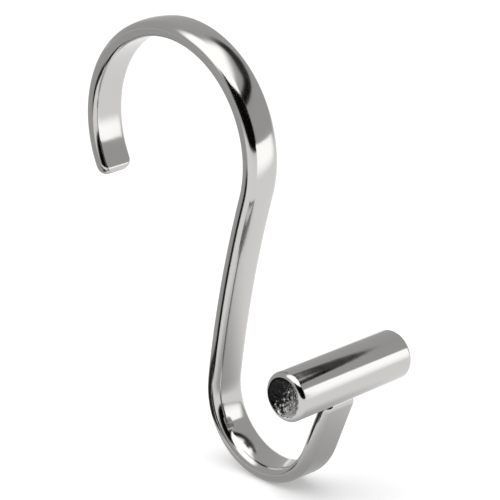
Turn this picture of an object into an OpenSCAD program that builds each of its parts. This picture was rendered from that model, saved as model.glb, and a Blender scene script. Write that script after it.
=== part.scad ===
// Shower curtain hook: a formed strip, bent like an S, with a round cross bar fixed to its
// lower end. The strip is bent in the XZ plane and its width lies along Y. The origin is the
// centre of the rod crook, so the axis of the shower rod is the Y axis.

/* [Strip] */
// Width of the strip, along the rod
strip_w = 7.9; // [6:0.1:12]
// Thickness at the middle of the crowned face
strip_t = 3.35; // [3.2:0.05:5]
// How far the crowned face rises above its two shoulders
crown_rise = 0.5; // [0.3:0.1:0.9]
// Radius along the edges of the flat face
flat_edge_r = 1.2; // [0.5:0.1:1.6]
// Radius of the shoulders, where the crowned face meets the sides
shoulder_r = 1.75; // [0.8:0.05:1.9]

/* [Rod crook] */
// Radius of the crook's inside, on the flat face
crook_inner_r = 21; // [14:0.1:30]
// Angle that the crook turns through, without its rounded tip
crook_wrap = 223; // [190:1:240]
// How far the start of the tip lies below the rod's axis, as an angle
tip_drop = 25.8; // [5:0.1:45]

/* [Shank] */
// Length of the shank between the two bends
shank_len = 41.7; // [25:0.1:80]
// Radius of the shank's slight bow
shank_bow_r = 250; // [120:10:600]

/* [Curtain loop] */
// Radius of the loop's inside, on the crowned face
loop_inner_r = 12; // [8:0.1:20]
// Angle that the loop turns through
loop_wrap = 165.4; // [140:0.2:175]
// Length of the straight riser, from the loop to the underside of the cross bar
riser_len = 12.9; // [6:0.1:25]

/* [Cross bar] */
// Diameter of the cross bar
bar_d = 10; // [8:0.5:16]
// Length of the cross bar
bar_len = 30.6; // [20:0.1:60]
// Radius of the rims at the bar's two ends
bar_rim_r = 1.1; // [0.3:0.1:1.5]
// Width of the flat ring between a rim and the dished middle of the bar's end
bar_end_land = 0.2; // [0.1:0.1:1]
// Depth of the dished middle of the bar's ends
dish_depth = 1.3; // [0.3:0.1:1.6]
// How far the bar's axis sits towards the shank from the middle of the riser
bar_inset = 1.5; // [0:0.1:2]

/* [Strip ends] */
// Length of the rounded tip past the crook
tip_len = 2.4; // [2.3:0.1:4]
// Radius of the tip's corners, seen on its flat face
tip_corner_r = 2.2; // [0.8:0.1:2.2]
// Radius of the tip's edges, seen from its side
tip_edge_r = 1.3; // [0.4:0.1:1.5]
// Radius of the corners where the riser meets the bar
seat_corner_r = 1; // [0.3:0.1:1.5]
// Radius of the edges where the riser meets the bar
seat_edge_r = 0.6; // [0.2:0.1:1.2]
// Depth that the riser's end reaches into the bar's round outline, before its saddle is cut
seat_depth = 0.9; // [0.6:0.1:2]

/* [Hidden] */
$fn = 96;
steel = [0.78, 0.78, 0.79];
beyond = 1;         // how far a cutting shape reaches past what it cuts
joint_lap = 0.3;    // how far the plainer runs reach into the bends
joint_step = 0.01;  // how much smaller their section is, so that no two faces coincide
shoulder_step = 0.004;  // how far the shoulders stand out of the crown, so that the arcs cross

// Section of the strip: flat face at x = 0, crown at x = strip_t
crown_r = (pow(strip_w / 2, 2) + pow(crown_rise, 2)) / (2 * crown_rise);
crown_x = strip_t - crown_r;
shoulder_y = strip_w / 2 - shoulder_r;
shoulder_x = crown_x + sqrt(pow(crown_r - shoulder_r + shoulder_step, 2) - pow(shoulder_y, 2));
edge_r = min(flat_edge_r, shoulder_x - 0.05);  // leaves the side a straight wall

// Radii of the strip's middle line: positive where it turns to its crowned side, negative
// where it turns to its flat side
crook_r = -(crook_inner_r + strip_t / 2);
loop_r = loop_inner_r + strip_t / 2;

// Route of the middle line as [x, z] points, with headings in degrees from +X towards +Z
function along(heading) = [cos(heading), sin(heading)];
function to_left(heading) = [-sin(heading), cos(heading)];
function turn_centre(start, heading, r) = start + r * to_left(heading);
function turn_end(start, heading, r, angle) =
    turn_centre(start, heading, r) - r * to_left(heading + sign(r) * angle);
function arc_angle(length, r) = length / abs(r) * 180 / PI;

shank_angle = arc_angle(shank_len, shank_bow_r);
tip_start = crook_r * along(tip_drop);
tip_heading = 90 + tip_drop;
shank_start = turn_end(tip_start, tip_heading, crook_r, crook_wrap);
shank_heading = tip_heading - crook_wrap;
loop_start = turn_end(shank_start, shank_heading, shank_bow_r, shank_angle);
loop_heading = shank_heading + shank_angle;
riser_start = turn_end(loop_start, loop_heading, loop_r, loop_wrap);
riser_heading = loop_heading + loop_wrap;

// Cross bar: the dish in each end is part of a ball
dish_r = bar_d / 2 - bar_rim_r - bar_end_land;
ball_r = (pow(dish_r, 2) + pow(dish_depth, 2)) / (2 * dish_depth);
bar_centre = riser_start + (riser_len + bar_d / 2) * along(riser_heading)
    + bar_inset * to_left(riser_heading);

// Section of the strip, closed by arcs and straight walls
module strip_section(inset = 0) {
    crown_reach = (crown_r + beyond) / (crown_r - shoulder_r);
    crown_side = [crown_x + crown_reach * (shoulder_x - crown_x), crown_reach * shoulder_y];
    for (side = [-1, 1]) {
        translate([edge_r, side * (strip_w / 2 - edge_r)]) circle(r = edge_r - inset);
        // the shoulder's own arc only, as its whole circle would reach through the flat face
        intersection() {
            translate([shoulder_x, side * shoulder_y]) circle(r = shoulder_r - inset);
            translate([(edge_r + shoulder_x) / 2, -strip_w]) square(2 * strip_w);
        }
    }
    translate([inset, edge_r - strip_w / 2])
        square([edge_r - inset, strip_w - 2 * edge_r]);
    translate([edge_r, inset - strip_w / 2])
        square([shoulder_x - edge_r, strip_w - 2 * inset]);
    intersection() {
        translate([crown_x, 0]) circle(r = crown_r - inset);
        polygon([
            [edge_r, -shoulder_y], [shoulder_x, -shoulder_y], [crown_side[0], -crown_side[1]],
            [strip_t + beyond, -crown_side[1]], [strip_t + beyond, crown_side[1]],
            crown_side, [shoulder_x, shoulder_y], [edge_r, shoulder_y]
        ]);
    }
}

// A bent run of the strip, with its crowned face on the left of the heading
module strip_bend(start, heading, r, angle, lap = 0, inset = 0) {
    centre = turn_centre(start, heading, r);
    lap_angle = arc_angle(lap, r);
    first_angle = (r > 0 ? heading - 90 : heading + 90 - angle) - lap_angle;
    translate([centre[0], 0, centre[1]]) rotate([90, 0, 0]) rotate(first_angle)
        rotate_extrude(angle = angle + 2 * lap_angle) {
            if (r > 0) translate([r + strip_t / 2, 0]) mirror([1, 0]) strip_section(inset);
            else translate([-r - strip_t / 2, 0]) strip_section(inset);
        }
}

// Outline of a rounded end that points along +X
module end_outline(length, width, corner_r) {
    translate([-beyond, -width / 2]) square([length - corner_r + beyond, width]);
    translate([0, corner_r - width / 2]) square([length, width - 2 * corner_r]);
    for (side = [-1, 1]) translate([length - corner_r, side * (width / 2 - corner_r)])
        circle(r = corner_r);
}

// A straight run along +X that ends rounded, with the crown towards +Z
module strip_end(length, corner_r, edge_r) {
    intersection() {
        translate([length, 0, -strip_t / 2]) rotate([0, -90, 0])
            linear_extrude(length + joint_lap) strip_section(joint_step);
        translate([0, 0, -strip_t]) linear_extrude(2 * strip_t)
            end_outline(length, strip_w, corner_r);
        translate([0, strip_w, 0]) rotate([90, 0, 0]) linear_extrude(2 * strip_w)
            end_outline(length, strip_t, edge_r);
    }
}

// Sets its children at a point of the route, with +X along the heading
module on_route(point, heading) {
    translate([point[0], 0, point[1]]) rotate([0, -heading, 0]) children();
}

module hook_strip() {
    color(steel) difference() {
        union() {
            on_route(tip_start, tip_heading + 180) mirror([0, 0, 1])
                strip_end(tip_len, tip_corner_r, tip_edge_r);
            strip_bend(tip_start, tip_heading, crook_r, crook_wrap);
            strip_bend(shank_start, shank_heading, shank_bow_r, shank_angle, joint_lap, joint_step);
            strip_bend(loop_start, loop_heading, loop_r, loop_wrap);
            on_route(riser_start, riser_heading)
                strip_end(riser_len + seat_depth, seat_corner_r, seat_edge_r);
        }
        // saddle that fits the bar's round underside
        translate([bar_centre[0], 0, bar_centre[1]]) rotate([90, 0, 0])
            cylinder(d = bar_d, h = strip_w + 2 * beyond, center = true);
    }
}

module cross_bar() {
    rim_y = bar_len / 2 - bar_rim_r;
    color(steel) translate([bar_centre[0], 0, bar_centre[1]]) rotate([90, 0, 0])
        difference() {
            rotate_extrude() {
                translate([0, -bar_len / 2]) square([bar_d / 2 - bar_rim_r, bar_len]);
                translate([0, -rim_y]) square([bar_d / 2, 2 * rim_y]);
                for (side = [-1, 1]) translate([bar_d / 2 - bar_rim_r, side * rim_y])
                    circle(r = bar_rim_r);
            }
            for (side = [-1, 1]) translate([0, 0, side * (bar_len / 2 - dish_depth + ball_r)])
                sphere(r = ball_r);
        }
}

hook_strip();
cross_bar();
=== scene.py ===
import bpy
import bmesh
from math import sin, cos, tan, asin, atan2, sqrt, radians, degrees, pi
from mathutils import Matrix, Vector


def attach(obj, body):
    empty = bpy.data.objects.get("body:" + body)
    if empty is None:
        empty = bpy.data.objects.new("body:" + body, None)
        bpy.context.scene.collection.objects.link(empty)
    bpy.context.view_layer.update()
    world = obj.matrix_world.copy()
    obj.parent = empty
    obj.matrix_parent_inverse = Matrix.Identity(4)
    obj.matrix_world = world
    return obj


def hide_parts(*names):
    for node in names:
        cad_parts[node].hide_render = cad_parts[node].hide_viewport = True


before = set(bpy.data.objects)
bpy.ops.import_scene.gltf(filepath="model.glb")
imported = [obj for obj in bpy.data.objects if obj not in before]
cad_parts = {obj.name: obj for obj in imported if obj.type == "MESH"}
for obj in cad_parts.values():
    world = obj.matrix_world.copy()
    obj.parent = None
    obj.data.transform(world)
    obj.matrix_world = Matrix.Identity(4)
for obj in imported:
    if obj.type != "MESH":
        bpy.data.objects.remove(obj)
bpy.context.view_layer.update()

mm = 0.001
smoothAngle = 32  # edges that turn more than this, in degrees, stay sharp
scene = bpy.context.scene


def activate(piece):
    for other in bpy.context.selected_objects:
        other.select_set(False)
    bpy.context.view_layer.objects.active = piece
    piece.select_set(True)


def startEdit(piece):
    activate(piece)
    bpy.ops.object.mode_set(mode="EDIT")


def leaveEdit():
    bpy.ops.object.mode_set(mode="OBJECT")


def pick(piece, kind, test):
    # selects only the edges or faces that pass the test
    mesh = bmesh.from_edit_mesh(piece.data)
    bpy.ops.mesh.select_mode(type=kind)
    bpy.ops.mesh.select_all(action="DESELECT")
    for part in {"EDGE": mesh.edges, "FACE": mesh.faces}[kind]:
        if test(part):
            part.select_set(True)
    mesh.select_flush_mode()
    bmesh.update_edit_mesh(piece.data)


def extrudeBy(move):
    bpy.ops.mesh.extrude_region_move(TRANSFORM_OT_translate={"value": move})


def drawTo(piece, target):
    # draws an edge from the one picked vertex to a point
    last = [v.co.copy() for v in bmesh.from_edit_mesh(piece.data).verts if v.select][0]
    extrudeBy(target - last)


# headings are degrees from +X towards +Z, in the plane that the strip is bent in
def along(heading):
    return Vector((cos(radians(heading)), 0, sin(radians(heading))))


def toLeft(heading):
    return Vector((-sin(radians(heading)), 0, cos(radians(heading))))


stripSizes = {
    "width": 7.9 * mm,
    "thickness": 3.35 * mm,
    "crownRise": 0.5 * mm,
    "flatEdgeRadius": 1.2 * mm,
    "shoulderRadius": 1.75 * mm,
    "flatShares": (0.4, 0.75, 1),  # where half of the flat face has its points
    "edgeSteps": 9,
    "shoulderSteps": 6,
    "crownSteps": 9,
    "sectionMerge": 0.001 * mm,
    "crookInnerRadius": 21 * mm,
    "crookWrap": 223,
    "crookSteps": 120,
    "tipDrop": 25.8,
    "shankLength": 41.7 * mm,
    "shankBowRadius": 250 * mm,
    "shankSteps": 20,
    "loopInnerRadius": 12 * mm,
    "loopWrap": 165.4,
    "loopSteps": 84,
    "riserLength": 12.9 * mm,
    "tipLength": 2.4 * mm,
    "tipCornerRadius": 2.2 * mm,
    "tipEdgeRadius": 1.3 * mm,
    "seatCornerRadius": 2.0 * mm,
    "seatEdgeRadius": 1.6 * mm,
    "seatDepth": 0.7 * mm,
    "endSteps": 9,
    "stripMerge": 0.0005 * mm,
    "saddleVertices": 192,
}


def drawSection(s, place, side):
    # half of the outline is drawn from the flat face to the crown, then mirrored across the width
    halfWidth, thickness = s["width"] / 2, s["thickness"]
    edge, shoulder = s["flatEdgeRadius"], s["shoulderRadius"]
    crown = (halfWidth ** 2 + s["crownRise"] ** 2) / (2 * s["crownRise"])
    crownX = thickness - crown
    shoulderY = halfWidth - shoulder
    shoulderX = crownX + sqrt((crown - shoulder) ** 2 - shoulderY ** 2)
    crownTurn = degrees(asin(shoulderY / (crown - shoulder)))
    axis = side.cross(Vector((0, 1, 0)))

    def at(x, y):
        return place + side * (x - thickness / 2) + Vector((0, y, 0))

    bpy.ops.mesh.primitive_plane_add(size=1 * mm, location=(0, 0, 0))
    piece = bpy.context.object
    startEdit(piece)
    bpy.ops.mesh.select_mode(type="VERT")
    bpy.ops.mesh.select_all(action="SELECT")
    bpy.ops.mesh.merge(type="CENTER")
    bpy.ops.transform.translate(value=at(0, 0))
    for share in s["flatShares"]:
        drawTo(piece, at(0, (halfWidth - edge) * share))
    bpy.ops.mesh.spin(steps=s["edgeSteps"], angle=radians(90),
                      center=at(edge, halfWidth - edge), axis=axis)
    drawTo(piece, at(shoulderX, halfWidth))
    bpy.ops.mesh.spin(steps=s["shoulderSteps"], angle=radians(90 - crownTurn),
                      center=at(shoulderX, shoulderY), axis=axis)
    bpy.ops.mesh.spin(steps=s["crownSteps"], angle=radians(crownTurn),
                      center=at(crownX, 0), axis=axis)
    bpy.ops.mesh.select_all(action="SELECT")
    bpy.ops.mesh.duplicate_move()
    bpy.ops.transform.resize(value=(1, -1, 1), orient_type="GLOBAL", center_override=(0, 0, 0))
    bpy.ops.mesh.select_all(action="SELECT")
    bpy.ops.mesh.remove_doubles(threshold=s["sectionMerge"])
    bpy.ops.mesh.edge_face_add()
    bpy.ops.mesh.select_mode(type="FACE")
    return piece


def roundedHalf(half, radius, past):
    # half size of an end, this far past the start of its rounded corner
    return half - radius + sqrt(max(radius ** 2 - max(0, past) ** 2, 0))


def runOut(s, place, heading, length, cornerRadius, edgeRadius):
    # runs the picked end face out along the heading, ring by ring, to a rounded end
    turned = (tuple(toLeft(heading)), (0, 1, 0), tuple(along(heading)))
    halfWidth, halfThickness = s["width"] / 2, s["thickness"] / 2
    start = length - max(cornerRadius, edgeRadius)
    x, wide, thick = 0, halfWidth, halfThickness
    for k in range(s["endSteps"] + 1):
        nextX = start + (length - start) * sin(radians(90 * k / s["endSteps"]))
        nextWide = roundedHalf(halfWidth, cornerRadius, nextX - length + cornerRadius)
        nextThick = roundedHalf(halfThickness, edgeRadius, nextX - length + edgeRadius)
        extrudeBy(along(heading) * (nextX - x))
        bpy.ops.transform.resize(
            value=(nextThick / thick, nextWide / wide, 1), orient_type="LOCAL",
            orient_matrix=turned, orient_matrix_type="LOCAL",
            center_override=place + along(heading) * nextX)
        x, wide, thick = nextX, nextWide, nextThick


def makeStrip(s):
    # gives the strip, and the place and heading of its riser's start
    crookR = s["crookInnerRadius"] + s["thickness"] / 2
    loopR = s["loopInnerRadius"] + s["thickness"] / 2
    bowR = s["shankBowRadius"]
    tipStart = along(s["tipDrop"]) * -crookR
    tipHeading = 90 + s["tipDrop"]
    piece = drawSection(s, tipStart, toLeft(tipHeading))
    piece.name = "formedStrip"

    # crook, shank and loop, each spun from the end face of the one before; left turns are positive
    here, heading = tipStart, tipHeading
    for turn, radius, steps in ((-s["crookWrap"], crookR, s["crookSteps"]),
                                (degrees(s["shankLength"] / bowR), bowR, s["shankSteps"]),
                                (s["loopWrap"], loopR, s["loopSteps"])):
        away = radius if turn > 0 else -radius
        center = here + toLeft(heading) * away
        bpy.ops.mesh.spin(steps=steps, angle=radians(turn), center=center, axis=(0, 1, 0))
        heading += turn
        here = center - toLeft(heading) * away

    # straight riser, then the tip from the first face
    runOut(s, here, heading, s["riserLength"] + s["seatDepth"], s["seatCornerRadius"], s["seatEdgeRadius"])
    closeBy = 0.1 * mm
    pick(piece, "FACE", lambda face: len(face.verts) > 4
         and (face.calc_center_bounds() - tipStart).length < closeBy)
    runOut(s, tipStart, tipHeading + 180, s["tipLength"], s["tipCornerRadius"], s["tipEdgeRadius"])
    bpy.ops.mesh.select_all(action="SELECT")
    bpy.ops.mesh.remove_doubles(threshold=s["stripMerge"])
    bpy.ops.mesh.normals_make_consistent(inside=False)
    leaveEdit()
    return piece, here, heading


def cutSaddle(piece, s, center, radius):
    # hollows the riser's end to fit a round bar
    bpy.ops.mesh.primitive_cylinder_add(vertices=s["saddleVertices"], radius=radius, depth=s["width"] * 2,
                                        location=center, rotation=(radians(90), 0, 0))
    cutter = bpy.context.object
    activate(piece)
    saddle = piece.modifiers.new("saddle", "BOOLEAN")
    saddle.operation = "DIFFERENCE"
    saddle.solver = "EXACT"
    saddle.object = cutter
    bpy.ops.object.modifier_apply(modifier=saddle.name)
    bpy.data.objects.remove(cutter)
    bpy.ops.object.shade_smooth_by_angle(angle=radians(smoothAngle))


barSizes = {
    "diameter": 10 * mm,
    "length": 30.6 * mm,
    "roundVertices": 144,
    "rimRadius": 1.1 * mm,
    "rimSegments": 10,
    "endLand": 0.2 * mm,
    "dishDepth": 1.3 * mm,
    "dishRings": 26,
    "inset": 1.5 * mm,  # from the middle of the riser towards the shank
    "castGrain": ((0.6 * mm, 0.24 * mm), (0.3 * mm, 0.18 * mm)),  # size and height of the lumps
    "castFade": 0.5 * mm,  # how far inside a dish's edge the lumps reach their full height
    "castRadius": 4.05 * mm,  # the ends have the cast finish this far out from the axis
}


def barPlace(s, b, riserStart, heading):
    reach = s["riserLength"] + b["diameter"] / 2
    return riserStart + along(heading) * reach + toLeft(heading) * b["inset"]


def dishEnd(piece, b, center, side, dishR):
    # steps an end face inwards, from its flat land to a small middle face, like part of a ball
    ballR = (dishR ** 2 + b["dishDepth"] ** 2) / (2 * b["dishDepth"])
    end = center + Vector((0, side * b["length"] / 2, 0))
    pick(piece, "FACE", lambda face: len(face.verts) > 4 and face.normal.y * side > 0.9)
    bpy.ops.mesh.inset(thickness=b["endLand"])
    radius, depth = dishR, 0
    for k in range(1, b["dishRings"]):
        nextR = dishR * (1 - k / b["dishRings"])
        nextDepth = sqrt(ballR ** 2 - nextR ** 2) - (ballR - b["dishDepth"])
        extrudeBy((0, -side * (nextDepth - depth), 0))
        shrink = nextR / radius
        bpy.ops.transform.resize(value=(shrink, 1, shrink), orient_type="GLOBAL", center_override=end)
        radius, depth = nextR, nextDepth


def roughenDishes(piece, b, center, dishR):
    # Lumpy cast surface in both dishes. The points are moved here, as a displace modifier with a
    # vertex group now and then takes the whole bar.
    points = piece.data.vertices
    deepSide = b["length"] / 2 - 0.001 * mm  # leaves the flat lands out
    shares = {}
    for v in points:
        inside = dishR - (v.co - center).xz.length
        if inside > 0 and abs(v.co.y) < deepSide:
            shares[v.index] = min(1, inside / b["castFade"])
    for size, height in b["castGrain"]:
        grain = bpy.data.textures.new("castGrain", "CLOUDS")
        grain.noise_scale = size
        grain.noise_depth = 1
        lumps = {k: (grain.evaluate(points[k].co).w - 0.5) * height * share for k, share in shares.items()}
        moves = {k: points[k].normal * lump for k, lump in lumps.items()}
        for k, move in moves.items():
            points[k].co += move
        piece.data.update()


def makeBar(b, center):
    half, rim = b["length"] / 2, b["rimRadius"]
    dishR = b["diameter"] / 2 - rim - b["endLand"]
    bpy.ops.mesh.primitive_cylinder_add(vertices=b["roundVertices"], radius=b["diameter"] / 2,
                                        depth=b["length"], location=center, rotation=(radians(90), 0, 0))
    piece = bpy.context.object
    piece.name = "crossBar"
    bpy.ops.object.transform_apply(location=True, rotation=True, scale=True)

    def onRim(edge):
        middle = (edge.verts[0].co.y + edge.verts[1].co.y) / 2
        return abs(abs(middle) - half) < 0.01 * mm

    startEdit(piece)
    pick(piece, "EDGE", onRim)
    bpy.ops.mesh.bevel(offset=rim, segments=b["rimSegments"], profile=0.5, affect="EDGES")
    for side in (-1, 1):
        dishEnd(piece, b, center, side, dishR)
    leaveEdit()
    roughenDishes(piece, b, center, dishR)
    activate(piece)
    bpy.ops.object.shade_smooth_by_angle(angle=radians(smoothAngle))
    return piece


strip, riserStart, riserHeading = makeStrip(stripSizes)
barCenter = barPlace(stripSizes, barSizes, riserStart, riserHeading)
cutSaddle(strip, stripSizes, barCenter, barSizes["diameter"] / 2)
print("strip formed:", len(strip.data.polygons), "faces")
bar = makeBar(barSizes, barCenter)
print("cross bar made:", len(bar.data.polygons), "faces")


# small shader helpers, each of which gives the socket that holds its result
def addNoise(tree, place, scale, detail):
    node = tree.nodes.new("ShaderNodeTexNoise")
    node.inputs["Scale"].default_value = scale
    node.inputs["Detail"].default_value = detail
    tree.links.new(place, node.inputs["Vector"])
    return node.outputs["Fac"]


def addRange(tree, value, source, target=(0, 1), smooth=False):
    node = tree.nodes.new("ShaderNodeMapRange")
    if smooth:
        node.interpolation_type = "SMOOTHSTEP"
    for name, number in zip(("From Min", "From Max", "To Min", "To Max"), (*source, *target)):
        node.inputs[name].default_value = number
    tree.links.new(value, node.inputs["Value"])
    return node.outputs["Result"]


def addMath(tree, operation, first, second):
    # the second value may be a plain number
    node = tree.nodes.new("ShaderNodeMath")
    node.operation = operation
    tree.links.new(first, node.inputs[0])
    if isinstance(second, (int, float)):
        node.inputs[1].default_value = second
    else:
        tree.links.new(second, node.inputs[1])
    return node.outputs[0]


def newMaterial(name):
    material = bpy.data.materials.new(name)
    material.use_nodes = True
    return material, material.node_tree, material.node_tree.nodes["Principled BSDF"]


chromeFinish = {
    "color": (0.507, 0.5, 0.487),
    "clouding": (160, 4),  # noise scale and detail
    "cloudSpan": (0.35, 0.7),  # part of the noise that carries the change in roughness
    "roughness": (0.085, 0.15),
    "waves": (380, 1, 0.09),  # noise scale, detail and bump strength
    "grain": (5000, 2, 0.015),
    "bumpDistance": 0.1 * mm,
}

# the cast ends have dark pits, and painted shade that darkens them towards -X and upwards
dishFinishAndShade = {
    "color": (0.55, 0.545, 0.535),
    "pitAndShadeColor": (0.015, 0.015, 0.015),
    "pits": (1900, 2),
    "paintedShadeTilt": (85, 0, -50),  # per metre: painted shade, the pits close up towards +X and downwards, so the dish is darker towards -X and upwards
    "cover": (6.1, 6.3),  # from bare pit colour to the full plate colour
    "clouding": (900, 4),
    "cloudSpan": (0.35, 0.7),
    "roughness": (0.18, 0.36),
    "waves": (1400, 1, 1.0),
    "grain": (3600, 2, 0.5),
    "bumpDistance": 0.1 * mm,
}


def addPitsAndShade(tree, shader, place, finish):
    # dark pits in the plate, with painted shade: the pits close up towards +X and downwards, so the colour
    # darkens towards -X and upwards
    shadeTilt = tree.nodes.new("ShaderNodeVectorMath")
    shadeTilt.operation = "DOT_PRODUCT"
    shadeTilt.inputs[1].default_value = finish["paintedShadeTilt"]
    tree.links.new(place, shadeTilt.inputs[0])
    pitsAndShade = addMath(tree, "ADD", addNoise(tree, place, *finish["pits"]), shadeTilt.outputs["Value"])
    tint = tree.nodes.new("ShaderNodeMix")
    tint.data_type = "RGBA"
    tint.inputs["A"].default_value = (*finish["pitAndShadeColor"], 1)
    tint.inputs["B"].default_value = (*finish["color"], 1)
    tree.links.new(addRange(tree, pitsAndShade, finish["cover"]), tint.inputs["Factor"])
    tree.links.new(tint.outputs["Result"], shader.inputs["Base Color"])


def chromeMaterial(name, finish):
    # plated steel: clouds of duller plate, slow waves in the polish and a fine grain
    material, tree, shader = newMaterial(name)
    shader.inputs["Base Color"].default_value = (*finish["color"], 1)
    shader.inputs["Metallic"].default_value = 1
    place = tree.nodes.new("ShaderNodeTexCoord").outputs["Object"]
    clouds = addNoise(tree, place, *finish["clouding"])
    dullness = addRange(tree, clouds, finish["cloudSpan"], finish["roughness"])
    tree.links.new(dullness, shader.inputs["Roughness"])

    normal = None
    for scale, detail, strength in (finish["waves"], finish["grain"]):
        bump = tree.nodes.new("ShaderNodeBump")
        bump.inputs["Strength"].default_value = strength
        bump.inputs["Distance"].default_value = finish["bumpDistance"]
        tree.links.new(addNoise(tree, place, scale, detail), bump.inputs["Height"])
        if normal:
            tree.links.new(normal, bump.inputs["Normal"])
        normal = bump.outputs["Normal"]
    tree.links.new(normal, shader.inputs["Normal"])
    # dark pits and painted shade, for the cast ends
    if "pits" in finish:
        addPitsAndShade(tree, shader, place, finish)
    return material


chrome = chromeMaterial("polishedChrome", chromeFinish)
for piece in (strip, bar):
    piece.data.materials.clear()
    piece.data.materials.append(chrome)
# the cast ends get a second material, with dark pits and painted shade
bar.data.materials.append(chromeMaterial("platedCastEnd", dishFinishAndShade))
startEdit(bar)
pick(bar, "FACE", lambda face: (face.calc_center_median() - barCenter).xz.length < barSizes["castRadius"])
bar.active_material_index = 1
bpy.ops.object.material_slot_assign()
leaveEdit()
print("finishes set:", ", ".join(slot.name for slot in bar.material_slots))

for piece, node, slotName in ((strip, "hook_strip", "strip_chrome"), (bar, "cross_bar", "bar_chrome")):
    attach(piece, "root")
    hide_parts(node)


# azimuths are degrees from -Y towards +X, and elevations are degrees above the level
def azimuthOf(point):
    return degrees(atan2(point.x, -point.y))


def directionOf(azimuth, elevation):
    a, e = radians(azimuth), radians(elevation)
    return Vector((sin(a) * cos(e), -cos(a) * cos(e), sin(e)))


cameraSetup = {
    "azimuth": 45.6,
    "elevation": 21.16,
    "distance": 0.5433,
    "lookAt": (0.01970, 0, -0.01833),
    "viewWidth": 0.0975,
    "sensorWidth": 36,
    "clip": (0.02, 20),
}


def makeCamera(c):
    data = bpy.data.cameras.new("studioCamera")
    camera = bpy.data.objects.new("studioCamera", data)
    scene.collection.objects.link(camera)
    back = directionOf(c["azimuth"], c["elevation"])
    camera.location = Vector(c["lookAt"]) + back * c["distance"]
    camera.rotation_euler = back.to_track_quat("Z", "Y").to_euler()
    data.sensor_width = c["sensorWidth"]
    data.lens = c["sensorWidth"] * c["distance"] / c["viewWidth"]
    data.clip_start, data.clip_end = c["clip"]
    scene.camera = camera


makeCamera(cameraSetup)
print("camera set at", [round(c, 3) for c in scene.camera.location])

scene.view_settings.view_transform = "Standard"
roomGrey = 0.56
matteRoughness = 0.9


def makeRoom(grey):
    world = bpy.data.worlds.new("studioRoom")
    scene.world = world
    world.use_nodes = True
    world.node_tree.nodes["Background"].inputs["Color"].default_value = (grey, grey, grey, 1)


def matteMaterial(name, grey, glow=0):
    material, tree, shader = newMaterial(name)
    shader.inputs["Base Color"].default_value = (grey, grey, grey, 1)
    shader.inputs["Roughness"].default_value = matteRoughness
    shader.inputs["Specular IOR Level"].default_value = 0
    shader.inputs["Emission Color"].default_value = (1, 1, 1, 1)
    shader.inputs["Emission Strength"].default_value = glow
    return material, tree, shader


floorSetup = {
    "level": -0.0646,
    "size": 8,
    "grey": 0.8,
    "lift": 0.26,  # glow that lights nothing: it shows to the camera, and in chrome and glass
}


def makeFloor(f):
    bpy.ops.mesh.primitive_plane_add(size=f["size"], location=(0, 0, f["level"]))
    floor = bpy.context.object
    floor.name = "floor"
    paint, tree, shader = matteMaterial("palePaper", f["grey"])
    rays = tree.nodes.new("ShaderNodeLightPath").outputs
    cameraOrGlossy = addMath(tree, "MAXIMUM", rays["Is Camera Ray"], rays["Is Glossy Ray"])
    anyOfThree = addMath(tree, "MAXIMUM", cameraOrGlossy, rays["Is Transmission Ray"])
    lift = addMath(tree, "MULTIPLY", anyOfThree, f["lift"])
    tree.links.new(lift, shader.inputs["Emission Strength"])
    floor.data.materials.append(paint)


# Cards and mats round the hook show only in its chrome. In their dictionaries, softness is the
# share that fades out at the left, right, lower and upper edge, and ramp is a change in glow:
# its direction, its start and end in the card, and the glow at each.
def cardMaterial(name, c):
    material, tree, shader = matteMaterial(name, 0, c.get("glow", 0))
    uv = tree.nodes.new("ShaderNodeUVMap")
    uv.uv_map = "card"
    split = tree.nodes.new("ShaderNodeSeparateXYZ")
    tree.links.new(uv.outputs["UV"], split.inputs["Vector"])
    left, right, lower, upper = c["softness"]
    cover = []
    for axis, low, high in (("X", left, right), ("Y", lower, upper)):
        if low:
            cover.append(addRange(tree, split.outputs[axis], (0, low), smooth=True))
        if high:
            cover.append(addRange(tree, split.outputs[axis], (1, 1 - high), smooth=True))
    while len(cover) > 1:
        cover.append(addMath(tree, "MULTIPLY", cover.pop(), cover.pop()))
    if cover:
        clear = tree.nodes.new("ShaderNodeBsdfTransparent")
        mix = tree.nodes.new("ShaderNodeMixShader")
        tree.links.new(cover[0], mix.inputs["Fac"])
        tree.links.new(clear.outputs["BSDF"], mix.inputs[1])
        tree.links.new(shader.outputs["BSDF"], mix.inputs[2])
        tree.links.new(mix.outputs["Shader"], tree.nodes["Material Output"].inputs["Surface"])
    if "ramp" in c:
        axis, start, end, glowStart, glowEnd = c["ramp"]
        glow = addRange(tree, split.outputs[axis], (start, end), (glowStart, glowEnd))
        tree.links.new(glow, shader.inputs["Emission Strength"])
    return material


def finishCard(card, name, c):
    material = cardMaterial(name, c)
    card.name = name
    card.data.materials.append(material)
    card.visible_camera = False
    card.visible_shadow = False
    card.visible_diffuse = False
    material.cycles.emission_sampling = "NONE"  # so that no card shines through another


def mapCard(card, across, up):
    # writes each corner's place in the card, from 0 to 1 both ways
    layer = card.data.uv_layers.new(name="card")
    for loop in card.data.loops:
        point = card.data.vertices[loop.vertex_index].co
        layer.data[loop.index].uv = (across(point), up(point))


def slope(x, stops):
    # straight lines through the stops, level beyond both ends
    if x <= stops[0][0]:
        return stops[0][1]
    for (x0, y0), (x1, y1) in zip(stops, stops[1:]):
        if x <= x1:
            return y0 + (y1 - y0) * (x - x0) / (x1 - x0)
    return stops[-1][1]


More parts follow.
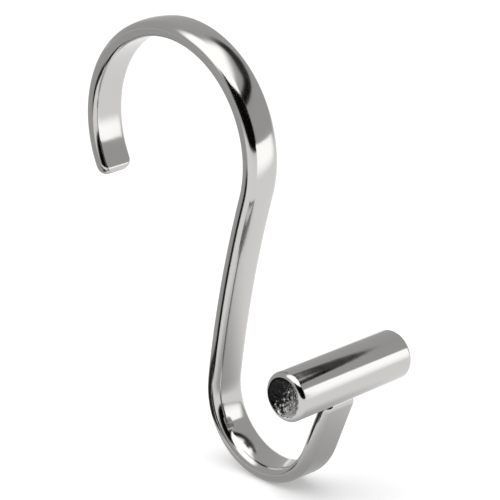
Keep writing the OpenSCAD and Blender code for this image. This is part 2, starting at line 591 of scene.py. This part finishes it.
def drumCard(name, c):
    # part of a drum wall; its lower and upper edges run through stops of azimuth and elevation
    first, last = c["azimuths"]
    middle, half = (first + last) / 2, (last - first) / 2
    bpy.ops.mesh.primitive_cylinder_add(vertices=360, radius=c["radius"], depth=1, end_fill_type="NOTHING")
    card = bpy.context.object

    def offset(point):
        return (azimuthOf(point) - middle + 180) % 360 - 180

    startEdit(card)
    pick(card, "FACE", lambda face: abs(offset(face.calc_center_median())) > half)
    bpy.ops.mesh.delete(type="FACE")
    leaveEdit()
    mapCard(card, lambda p: (offset(p) + half) / (2 * half), lambda p: 1 if p.z > 0 else 0)
    for v in card.data.vertices:
        stops = c["highEdge"] if v.co.z > 0 else c["lowEdge"]
        v.co.z = c["radius"] * tan(radians(slope(middle + offset(v.co), stops)))
    card.location = c["center"]
    finishCard(card, name, c)


def flatCard(name, c):
    width, height = c["size"]
    bpy.ops.mesh.primitive_plane_add(size=1)
    card = bpy.context.object
    startEdit(card)
    bpy.ops.transform.resize(value=(width, height, 1), orient_type="GLOBAL", center_override=(0, 0, 0))
    leaveEdit()
    mapCard(card, lambda p: p.x / width + 0.5, lambda p: p.y / height + 0.5)
    card.location = c["center"]
    card.rotation_euler = [radians(turn) for turn in c["turns"]]
    finishCard(card, name, c)


def floorMat(name, c, floorLevel):
    # sector of a ring that lies just over the floor
    first, last = c["azimuths"]
    inner, outer = c["radii"]
    bpy.ops.mesh.primitive_circle_add(vertices=180, radius=outer, fill_type="NGON")
    card = bpy.context.object
    startEdit(card)
    bpy.ops.mesh.select_all(action="SELECT")
    bpy.ops.mesh.inset(thickness=outer - inner)
    bpy.ops.mesh.delete(type="FACE")
    pick(card, "FACE", lambda face: not first < azimuthOf(face.calc_center_median()) < last)
    bpy.ops.mesh.delete(type="FACE")
    leaveEdit()
    mapCard(card, lambda p: (azimuthOf(p) - first) / (last - first),
            lambda p: (p.length - inner) / (outer - inner))
    card.location = (*c["center"], floorLevel + c["lift"])
    finishCard(card, name, c)


# dark side of the room
darkWall = {
    "radius": 0.8,
    "center": (0, 0, 0),
    "azimuths": (-4, 117),
    "lowEdge": ((-4, 12), (40, -6), (117, -9)),
    "highEdge": ((-4, 40), (25, 49), (90, 51), (117, 44)),
    "glow": 0.004,
    "softness": (0.16, 0.05, 0.08, 0.15),
}

# dark beam behind, which makes the streak along the bar
darkBeam = {
    "radius": 0.16,
    "center": (0.02, 0, 0.015),
    "azimuths": (114, 215),
    "lowEdge": ((114, 28), (150, 31), (165, 33), (180, 36), (215, 41)),
    "highEdge": ((114, 42), (150, 44), (180, 49), (215, 52)),
    "ramp": ("X", 0.3, 0.7, 0.004, 0.04),
    "softness": (0, 0.2, 0.15, 0.3),
}

# small dark card above the bar, in front of the beam
darkLid = {
    "size": (0.07, 0.042),
    "center": (0.042, 0.1, 0.108),
    "turns": (90, 0, 0),
    "glow": 0.03,
    "softness": (0.3, 0.3, 0.1, 0.1),
}

# bright card close by, behind and to the right, dimmer towards the floor
sideCard = {
    "size": (0.132, 0.066),
    "center": (0.112, 0.094, -0.027),
    "turns": (90, 0, 90),
    "ramp": ("Y", 0.05, 0.5, 1.3, 1.92),
    "softness": (0.06, 0.4, 0.3, 0.03),
}

# The floor mats are painted shade and shadow on the floor, and they show only in the chrome.
floorMats = {
    # painted shade: the floor darker at the front left
    "paintedFloorShade": {
        "center": (0.017, 0),
        "radii": (0.045, 1.5),
        "azimuths": (-130, 2),
        "lift": 0.2 * mm,
        "glow": 0.55,
        "softness": (0.02, 0.1, 0.005, 0),
    },
    # painted shadow: the hook's shadow running out across the floor towards the front
    "paintedCastShadow": {
        "center": (0.017, 0),
        "radii": (0.036, 0.2),
        "azimuths": (-34, 2),
        "lift": 0.4 * mm,
        "glow": 0.01,
        "softness": (0.3, 0.3, 0.02, 0.3),
    },
    "shadeMat": {
        "center": (0.017, 0),
        "radii": (0.02, 0.062),
        "azimuths": (-80, -24),
        "lift": 0.6 * mm,
        "glow": 0.03,
        "softness": (0.1, 0.1, 0.02, 0.2),
    },
    # painted contact shadow under the loop
    "paintedContactShadow": {
        "center": (0.03, 0),
        "radii": (0.0005, 0.045),
        "azimuths": (-180, 180),
        "lift": 0.5 * mm,
        "glow": 0.55,
        "softness": (0, 0, 0, 0.85),
    },
}

# the softbox's face shows in the chrome with soft edges, and a lamp behind it gives the light
softboxFace = {
    "size": (1.2, 2.4),
    "center": (-0.05, -0.53, 0.8),
    "turns": (0, 0, -20),
    "glow": 2.0,
    "softness": (0.22, 0.07, 0.35, 0.08),
}

softboxLamp = {
    "size": (0.9, 1.8),
    "center": (0, -0.3, 0.85),
    "turn": -20,
    "glow": 1.75,
}


def makeLamp(c):
    lamp = bpy.data.lights.new("softboxLamp", "AREA")
    lamp.shape = "RECTANGLE"
    lamp.size, lamp.size_y = c["size"]
    lamp.energy = c["glow"] * pi * lamp.size * lamp.size_y
    softbox = bpy.data.objects.new("softboxLamp", lamp)
    softbox.location = c["center"]
    softbox.rotation_euler = (0, 0, radians(c["turn"]))
    softbox.visible_glossy = False
    scene.collection.objects.link(softbox)


makeRoom(roomGrey)
makeFloor(floorSetup)
drumCard("darkWall", darkWall)
drumCard("darkBeam", darkBeam)
flatCard("darkLid", darkLid)
flatCard("sideCard", sideCard)
for name, mat in floorMats.items():
    floorMat(name, mat, floorSetup["level"])
flatCard("softboxFace", softboxFace)
makeLamp(softboxLamp)
print("studio set up, with", len(floorMats), "floor mats")
